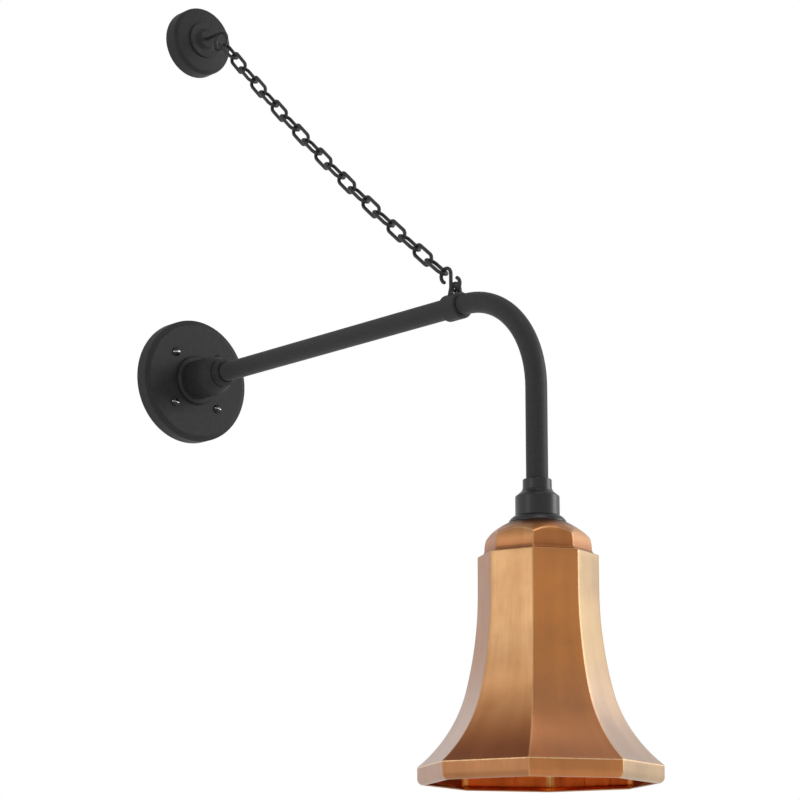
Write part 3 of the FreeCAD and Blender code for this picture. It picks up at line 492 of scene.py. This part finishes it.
# each is from, to, and how strong it is at both: by height, by distance from the shade's axis,
# a corner or a crease, by a noise, or by how brown the sheet gets
patinaAndShade = {
    "brownHeight": (-0.125, -0.225, 0.0, 0.7), "brownPatches": (0.35, 0.65, 0.2, -0.05),
    "brownBrim": (-0.2505, -0.2485, 0.3, 1.0),
    "crownBrown": (shade["ledge"] - 0.001, shade["ledge"] + 0.001, 0.0, 0.45),
    "roseSpecks": (0.6, 0.85, 0.0, 0.15),
    # darker above the brim: partly patina, partly a painted dark reflection
    "lowDark": (-0.185, -0.243, 0.0, 0.95), "lowPatches": (0.25, 0.55, 0.6, 1.0),
    "lowSheets": (0.7, 1.0), "lowBrim": (-0.2505, -0.2485, 0.6, 1.0),
    # painted shade under the flange
    "flangeShade": (0.046, 0.032, 0.0, 0.85), "flangeHeight": (-0.03, -0.012),
    "footDark": (-0.017, -0.031, 0.0, 0.6),
    "footHeight": (shade["ledge"] - 0.0005, shade["ledge"] + 0.001),
    "cloudTone": (*middling, 0.88, 1.09), "streakTone": (*middling, 0.95, 1.04),
    # painted shadow where the flange sits
    "flangeShadow": (0.0325, 0.0460, 0.35, 1.0), "flangeShadowHeight": (-0.009, -0.015),
    "ragged": (*middling, 0.6, 1.25), "corner": (0.0011, 0.0003),
    "cornerHeight": (-0.0135, -0.0175, 0.0, 0.35), "crease": (0.0008, 0.0002),
    # rubbed: corners worn bright, and painted highlights along creases and arches, broken up by specks
    "rubbedAndHighlit": (0.25, 0.6, 0.35, 0.8), "rough": (0.25, 0.75, 0.31, 0.40),
}

innerCopper = {
    # bright and corner: painted golden highlights along the inside corners
    "bright": (0.96, 0.62, 0.20), "cloud": (38.0, 5.0), "brush": (300.0, 4.0),
    "cloudTone": (0.25, 0.75, 0.6, 1.0), "corner": (0.0060, 0.0018, 0.0, 0.9),
    "rough": (*middling, 0.26, 0.42), "bump": 0.15, "depth": 0.00005,
}


def buildPlaceGroup():  # where a point is on the shade: its sheet, height, distance to a corner
    group, given, made = newGroup(
        "sheetPlace", [("Vector", "Vector")],
        [("Centred", "Vector"), ("Radius", "Float"), ("Height", "Float"), ("Sheet", "Float"),
         ("Corner", "Float"), ("Brushed", "Vector")])
    centre = put(group, "ShaderNodeVectorMath", {"operation": "SUBTRACT"},
                 n0=given.outputs["Vector"], n1=(*shade["axis"], shade["top"]))
    across, deep, high = put(group, "ShaderNodeSeparateXYZ", Vector=centre.outputs[0]).outputs
    radius = sums(group, "SQRT", sums(group, "ADD", sums(group, "MULTIPLY", across, across),
                                      sums(group, "MULTIPLY", deep, deep)))
    step = math.radians(sheetStep)
    angle = sums(group, "DIVIDE", sums(group, "SUBTRACT", sums(group, "ARCTAN2", deep, across),
                                       math.radians(shade["turn"])), step)
    angle = sums(group, "FLOORED_MODULO", angle, sheetCount)
    sheet = sums(group, "FLOOR", angle)
    share = sums(group, "SUBTRACT", angle, sheet)
    toCorner = sums(group, "MULTIPLY", sums(group, "MULTIPLY", radius, step),
                    sums(group, "MINIMUM", share, sums(group, "SUBTRACT", 1.0, share)))
    # brushing runs down the sheets, so this place is stretched along the height
    perSheet, perMetre = copper["brushSpread"]
    brushed = put(group, "ShaderNodeCombineXYZ", X=sums(group, "MULTIPLY", angle, perSheet),
                  Y=sums(group, "MULTIPLY", high, perMetre), Z=sheet)
    for name, value in (("Centred", centre.outputs[0]), ("Radius", radius), ("Height", high),
                        ("Sheet", sheet), ("Corner", toCorner), ("Brushed", brushed.outputs[0])):
        group.links.new(value, made.inputs[name])
    return group


placeGroup = buildPlaceGroup()


def sheetRamp(tree, sheet, colors):  # each sheet's own entry in a list of colors
    ramp = put(tree, "ShaderNodeValToRGB",
               Fac=sums(tree, "DIVIDE", sums(tree, "ADD", sheet, 0.5), sheetCount))
    stops = ramp.color_ramp.elements
    ramp.color_ramp.interpolation = "CONSTANT"
    for i, sheetColor in enumerate(colors):
        stop = stops[0] if i == 0 else stops.new(i / sheetCount)
        stop.position, stop.color = i / sheetCount, sheetColor
    stops.remove(stops[-1])  # the stop at 1 that every new ramp has
    return ramp.outputs


def nearHeight(tree, high, level):  # 1 along a crease at that height
    return remap(tree, sums(tree, "ABSOLUTE", sums(tree, "SUBTRACT", high, level)), *patinaAndShade["crease"])


def buildCopper():
    material, tree, shader, place = newMaterial("agedCopper")
    spot = useGroup(tree, placeGroup, Vector=place)
    high, radius = spot["Height"], spot["Radius"]
    brush = grain(tree, spot["Brushed"], *copper["brush"])
    streak = grain(tree, spot["Brushed"], *copper["streak"])
    cloud = grain(tree, spot["Centred"], *copper["cloud"])
    speck = grain(tree, spot["Centred"], *copper["speck"])
    own = sheetRamp(tree, spot["Sheet"], sheetColors)

    # towards the brim and in patches, each sheet turns towards brown where its alpha is high and towards
    # a pale haze where it is low: partly patina, partly a painted reflection on the side sheets; the
    # crown is browner
    cloudShare, streakShare = copper["patches"]
    mottle = sums(tree, "ADD", sums(tree, "MULTIPLY", cloud, cloudShare),
                  sums(tree, "MULTIPLY", streak, streakShare))
    low = sums(tree, "ADD", remap(tree, high, *patinaAndShade["brownHeight"]),
               remap(tree, mottle, *patinaAndShade["brownPatches"]), clamp=True)
    low = sums(tree, "MULTIPLY", low, remap(tree, high, *patinaAndShade["brownBrim"]))
    agedAndReflected = blendColors(tree, own["Alpha"], copper["hazeAndSheen"], copper["brown"])
    color = blendColors(tree, low, own["Color"], agedAndReflected)
    color = blendColors(tree, remap(tree, high, *patinaAndShade["crownBrown"]), color, copper["brown"])
    color = blendColors(tree, remap(tree, speck, *patinaAndShade["roseSpecks"]), color, copper["rose"])

    # darker above the brim on the brownest sheets, partly patina and partly a painted dark reflection;
    # painted shade under the flange; darker round the crown's foot
    lowDark = sums(tree, "MULTIPLY", remap(tree, high, *patinaAndShade["lowDark"]),
                   remap(tree, cloud, *patinaAndShade["lowPatches"]))
    lowDark = sums(tree, "MULTIPLY", lowDark, remap(tree, own["Alpha"], *patinaAndShade["lowSheets"]))
    lowDark = sums(tree, "MULTIPLY", lowDark, remap(tree, high, *patinaAndShade["lowBrim"]))
    flangeShade = sums(tree, "MULTIPLY", remap(tree, radius, *patinaAndShade["flangeShade"]),
                      remap(tree, high, *patinaAndShade["flangeHeight"]))
    footDark = sums(tree, "MULTIPLY", remap(tree, high, *patinaAndShade["footDark"]),
                    remap(tree, high, *patinaAndShade["footHeight"]))
    dark = sums(tree, "MAXIMUM", lowDark, sums(tree, "MAXIMUM", flangeShade, footDark))
    color = blendColors(tree, dark, color, copper["deep"])

    # uneven tone all over, and a painted shadow where the flange sits
    tone = sums(tree, "MULTIPLY", remap(tree, cloud, *patinaAndShade["cloudTone"]),
                remap(tree, streak, *patinaAndShade["streakTone"]))
    flangeShadow = sums(tree, "MAXIMUM", remap(tree, radius, *patinaAndShade["flangeShadow"]),
                remap(tree, high, *patinaAndShade["flangeShadowHeight"]))
    color = blendColors(tree, 1.0, color, sums(tree, "MULTIPLY", tone, flangeShadow), "MULTIPLY")

    # corners rubbed bright, and painted highlights along the creases and the crown's arches
    ragged = remap(tree, brush, *patinaAndShade["ragged"])
    corner = remap(tree, sums(tree, "DIVIDE", spot["Corner"], ragged), *patinaAndShade["corner"])
    corner = sums(tree, "MULTIPLY", corner, remap(tree, high, *patinaAndShade["cornerHeight"]))
    arch = put(tree, "ShaderNodeAttribute", {"attribute_name": "archEdge"}).outputs["Fac"]
    creaseHighlights = sums(tree, "MAXIMUM", nearHeight(tree, high, copper["brimCrease"]),
                   nearHeight(tree, high, shade["ledge"]))
    highlightLines = sums(tree, "MAXIMUM", sums(tree, "MULTIPLY", arch, copper["archShare"]), creaseHighlights)
    rubbedAndHighlit = sums(tree, "MULTIPLY", sums(tree, "MAXIMUM", corner, highlightLines),
                  remap(tree, speck, *patinaAndShade["rubbedAndHighlit"]), clamp=True)
    color = blendColors(tree, rubbedAndHighlit, color, copper["bright"])

    # duller where it is dark, and along the corners
    dull = sums(tree, "MAXIMUM", dark, sums(tree, "MULTIPLY", corner, copper["cornerDull"]))
    roughness = sums(tree, "ADD", remap(tree, brush, *patinaAndShade["rough"]),
                     sums(tree, "MULTIPLY", dull, copper["dullness"]))
    tree.links.new(color, shader.inputs["Base Color"])
    tree.links.new(roughness, shader.inputs["Roughness"])
    shader.inputs["Metallic"].default_value = 1.0
    shader.inputs["Coat Weight"].default_value = copper["coat"]
    shader.inputs["Coat Roughness"].default_value = copper["coatRough"]
    height = sums(tree, "ADD", sums(tree, "MULTIPLY", brush, copper["brushLift"]), cloud)
    bump = put(tree, "ShaderNodeBump", Strength=copper["bump"], Distance=copper["depth"], Height=height)
    tree.links.new(bump.outputs["Normal"], shader.inputs["Normal"])
    return material


def buildInnerCopper():  # the inside: a redder, brighter copper, partly a painted glow, with painted golden highlights along the corners
    material, tree, shader, place = newMaterial("innerCopper")
    spot = useGroup(tree, placeGroup, Vector=place)
    cloud = grain(tree, spot["Centred"], *innerCopper["cloud"])
    brush = grain(tree, spot["Brushed"], *innerCopper["brush"])
    color = blendColors(tree, 1.0, sheetRamp(tree, spot["Sheet"], innerColors)["Color"],
                        remap(tree, cloud, *innerCopper["cloudTone"]), "MULTIPLY")
    corner = remap(tree, spot["Corner"], *innerCopper["corner"])
    color = blendColors(tree, corner, color, innerCopper["bright"])
    tree.links.new(color, shader.inputs["Base Color"])
    tree.links.new(remap(tree, brush, *innerCopper["rough"]), shader.inputs["Roughness"])
    shader.inputs["Metallic"].default_value = 1.0
    bump = put(tree, "ShaderNodeBump", Strength=innerCopper["bump"], Distance=innerCopper["depth"],
               Height=brush)
    tree.links.new(bump.outputs["Normal"], shader.inputs["Normal"])
    return material


finish["agedCopper"] = buildCopper()
finish["innerCopper"] = buildInnerCopper()
print("finishes are mixed:", len(finish))

rootBody = next(body for body, group in frame["record"]["behaviour"]["bodies"].items()
                if "backplate" in group)
bellSteps = {"curl": 8, "brim": 3, "brimRound": 3, "flareLow": 26, "flareTop": 16, "ledge": 4,
             "straight": 5, "straightStep": 0.006, "across": 11}
crownSteps = {"around": 320, "foot": 9, "footEase": 1.5, "dome": 54, "lip": -0.0004,
              "start": 0.05}  # the radius that the crown is pressed from
weldGap = 0.000005


def bellProfile():  # (half across flats, height below the crown's top), from the brim's lip up
    topRadius, topAngle = shade["flareTop"]
    lowRadius, lowAngle = shade["flareLow"]
    out = shade["halfBody"] + topRadius
    lowCentre = (out - (topRadius - lowRadius) * math.cos(math.radians(topAngle)),
                 shade["straightEnd"] - (topRadius - lowRadius) * math.sin(math.radians(topAngle)))
    bend = shade["brimRound"]
    brimCentre = (lowCentre[0] - (lowRadius + bend) * math.cos(math.radians(lowAngle)),
                  lowCentre[1] - (lowRadius + bend) * math.sin(math.radians(lowAngle)))
    edge, curl, lip = brimCentre[0] + bend, shade["curl"], shade["ledgeRound"]
    rise = brimCentre[1] - shade["brimLow"]
    points = [(edge - curl, shade["brimLow"] - curl)]
    points += arcPoints((edge - curl, shade["brimLow"]), curl, -90, 0, bellSteps["curl"])
    points += [(edge, shade["brimLow"] + rise * i / bellSteps["brim"])
               for i in range(1, bellSteps["brim"] + 1)]
    points += arcPoints(brimCentre, bend, 0, lowAngle, bellSteps["brimRound"])
    points += arcPoints(lowCentre, lowRadius, 180 + lowAngle, 180 + topAngle, bellSteps["flareLow"])
    points += arcPoints((out, shade["straightEnd"]), topRadius, 180 + topAngle, 180,
                        bellSteps["flareTop"])
    points += [(shade["halfBody"], shade["straightEnd"] + i * bellSteps["straightStep"])
               for i in range(1, bellSteps["straight"] + 1)]
    points += [(shade["halfBody"], shade["ledge"] - lip)]
    points += arcPoints((shade["halfBody"] - lip, shade["ledge"] - lip), lip, 0, 90, bellSteps["ledge"])
    return points


def dentFlats(piece):  # hand-beaten sheet is never quite flat
    across, down = shade["dentWaves"]
    for vertex in piece.data.vertices:
        place = vertex.co
        push = noise.noise(Vector((place.x * across, place.y * across, place.z * down)))
        away = Vector((place.x, place.y, 0)).normalized()
        vertex.co = place + away * push * shade["dents"]


def hangSheet(piece, hardAngle, node):  # thickness, smooth faces, and its place on the lamp
    piece.data.materials.clear()
    piece.data.materials.append(finish["agedCopper"])
    piece.data.materials.append(finish["innerCopper"])
    useModifier(piece, "SOLIDIFY", thickness=shade["sheet"], offset=-1, use_even_offset=True,
                material_offset=1)  # the inner face gets the second material
    smoothShade(piece, hardAngle)
    piece.rotation_euler = (0, 0, math.radians(shade["turn"]))
    piece.location = (*shade["axis"], shade["top"])
    settle(piece)
    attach(piece, rootBody)
    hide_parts(node)
    return piece


def makeShadeBody():
    rings = [(wide * widen, high) for wide, high in bellProfile()]
    piece = raiseRings("shadeBell", sheetCount, rings, cuts=bellSteps["across"])
    cleanMesh(piece, weldGap)
    faceOutward(piece)
    useModifier(piece, "BEVEL", width=shade["cornerRound"], segments=shade["roundCuts"],
                limit_method="ANGLE", angle_limit=math.radians(shade["rounded"]),
                use_clamp_overlap=True)
    dentFlats(piece)
    return hangSheet(piece, shade["bellHard"], "shade_body")


def crownHalf(high):  # half across the crown's flats at a height
    foot, bend = shade["crownFoot"], shade["crownBend"]
    if high >= foot:
        return shade["crownHalf"] - bend + math.sqrt(max(bend ** 2 - (high - foot) ** 2, 0))
    flare = foot - shade["ledge"]
    rise = (high - shade["ledge"]) / flare
    outer = shade["halfBody"] - shade["ledgeRound"]
    return outer - (outer - shade["crownHalf"]) * math.sqrt(max(1 - (1 - rise) ** 2, 0))


def domeRadius(high):
    return math.sqrt(shade["domeBend"] ** 2 - (high + shade["domeDepth"]) ** 2) - shade["domeOffset"]


def softLeast(first, second, blend):  # the smaller of two, with a round of that width between them
    near = max(blend - abs(first - second), 0) / blend
    return min(first, second) - near * near * blend / 4


def pressCrown(piece):  # and mark where the dome meets the flats, for the finish
    edge = piece.data.attributes.new("archEdge", "FLOAT", "POINT")
    for i, vertex in enumerate(piece.data.vertices):
        place = vertex.co
        fromMiddle = math.degrees(math.atan2(place.y, place.x)) % sheetStep - sheetStep / 2
        flat = crownHalf(place.z)
        reach = softLeast(flat / math.cos(math.radians(fromMiddle)),
                          flat / math.cos(math.radians(sheetStep - abs(fromMiddle))),
                          shade["creaseRound"])
        away = abs(reach - domeRadius(place.z)) / shade["creaseRound"]
        edge.data[i].value = max(0.0, 1 - away) if place.z > shade["crownFoot"] else 0.0
        reach = softLeast(reach, domeRadius(place.z), shade["creaseRound"] * 2)
        vertex.co = Vector((place.x, place.y, 0)).normalized() * reach + Vector((0, 0, place.z))


def makeShadeCrown():
    foot, ledge, lip = shade["crownFoot"], shade["ledge"], crownSteps["lip"]
    footSteps, domeSteps = crownSteps["foot"], crownSteps["dome"]
    heights = [ledge + (foot - ledge) * (i / footSteps) ** crownSteps["footEase"]
               for i in range(footSteps + 1)]
    heights += [foot + (lip - foot) * i / domeSteps for i in range(1, domeSteps + 1)] + [0]
    piece = raiseRings("shadeCrown", crownSteps["around"],
                       [(crownSteps["start"], high) for high in heights])
    pressCrown(piece)
    cleanMesh(piece, weldGap)
    faceOutward(piece)
    return hangSheet(piece, shade["crownHard"], "shade_crown")


shadeBell = makeShadeBody()
shadeCrown = makeShadeCrown()
print("shade:", len(shadeBell.data.polygons), "and", len(shadeCrown.data.polygons), "faces")

screw = {
    "head": 0.0054, "height": 0.0034, "sides": 40, "rings": 24, "weld": 0.00001,
    "slot": 0.0011, "slotDepth": 0.0014,
    "slotShine": (0.62, 0.2),  # how far bare steel shows: in slot widths, and up the head
    "edge": 0.0003, "roundCuts": 2, "rounded": 35, "hard": 40,
    "spread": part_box("backplate_screws")[1][0] - 0.0051,  # the heads' centres, off the plate's
    "face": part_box("backplate")[0][1],
    "slotTurns": {(-1, 1): 7, (-1, -1): -7, (1, -1): -8, (1, 1): -14},  # degrees, by side of X and Z
}


def makeScrew(sideX, sideZ):
    startFresh()
    bpy.ops.mesh.primitive_uv_sphere_add(segments=screw["sides"], ring_count=screw["rings"],
                                         radius=screw["head"])
    piece = bpy.context.object
    piece.name = f"plateScrew{'Left' if sideX < 0 else 'Right'}{'Low' if sideZ < 0 else 'High'}"
    piece.scale = (1, 1, screw["height"] / screw["head"])
    settle(piece)
    editWhole(piece)
    bpy.ops.mesh.bisect(plane_co=(0, 0, 0), plane_no=(0, 0, 1), clear_inner=True, use_fill=True)
    bpy.ops.object.mode_set(mode="OBJECT")
    # the slot's cutter is longer than the head, and half of its height stands over the top
    bpy.ops.mesh.primitive_cube_add(size=1, location=(0, 0, screw["height"]))
    cutter = bpy.context.object
    cutter.scale = (screw["head"] * 3, screw["slot"], screw["slotDepth"] * 2)
    settle(cutter)
    useModifier(piece, "BOOLEAN", operation="DIFFERENCE", object=cutter, solver="EXACT")
    bpy.data.objects.remove(cutter)
    cleanMesh(piece, screw["weld"])
    useModifier(piece, "BEVEL", width=screw["edge"], segments=screw["roundCuts"],
                limit_method="ANGLE", angle_limit=math.radians(screw["rounded"]))
    piece.data.materials.append(finish["blackScrew"])
    piece.data.materials.append(finish["bareSteel"])
    shineWide, shineHigh = screw["slotShine"]
    for face in piece.data.polygons:
        inSlot = abs(face.center.y) <= screw["slot"] * shineWide
        face.material_index = 1 if inSlot and face.center.z > screw["height"] * shineHigh else 0
    smoothShade(piece, screw["hard"])
    turn = math.radians(screw["slotTurns"][(sideX, sideZ)])
    piece.matrix_world = (
        Matrix.Translation((screw["spread"] * sideX, screw["face"], screw["spread"] * sideZ))
        @ Matrix.Rotation(math.radians(90), 4, "X") @ Matrix.Rotation(turn, 4, "Z"))
    settle(piece)
    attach(piece, rootBody)
    return piece


plateScrews = [makeScrew(sideX, sideZ) for sideX in (-1, 1) for sideZ in (-1, 1)]
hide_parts("backplate_screws")
print("plate screws:", len(plateScrews))

# all other pieces keep their CAD shape and get the finish of their slot, or their own
slotFinish = {
    "black_casting": "blackCasting", "black_tube": "blackTube", "black_chain": "blackChain",
    "black_screw": "blackScrew", "zinc_steel": "zincSteel", "copper": "agedCopper",
    "porcelain": "glazedPorcelain", "brass": "yellowBrass", "nickel_cap": "nickelCap",
    "bulb_glass": "frostedGlass",
}
pieceFinish = {"fitter_nut": "blackSheen", "fitter_cup": "blackSheen",
               "fitter_flange": "blackSheen", "chain_collar": "blackTube"}
for part in frame["record"]["subparts"]:
    chosen = pieceFinish.get(part["node"], slotFinish[part["material_slot"]])
    for place in frame["nodes"][part["node"]].material_slots:
        place.material = finish[chosen]
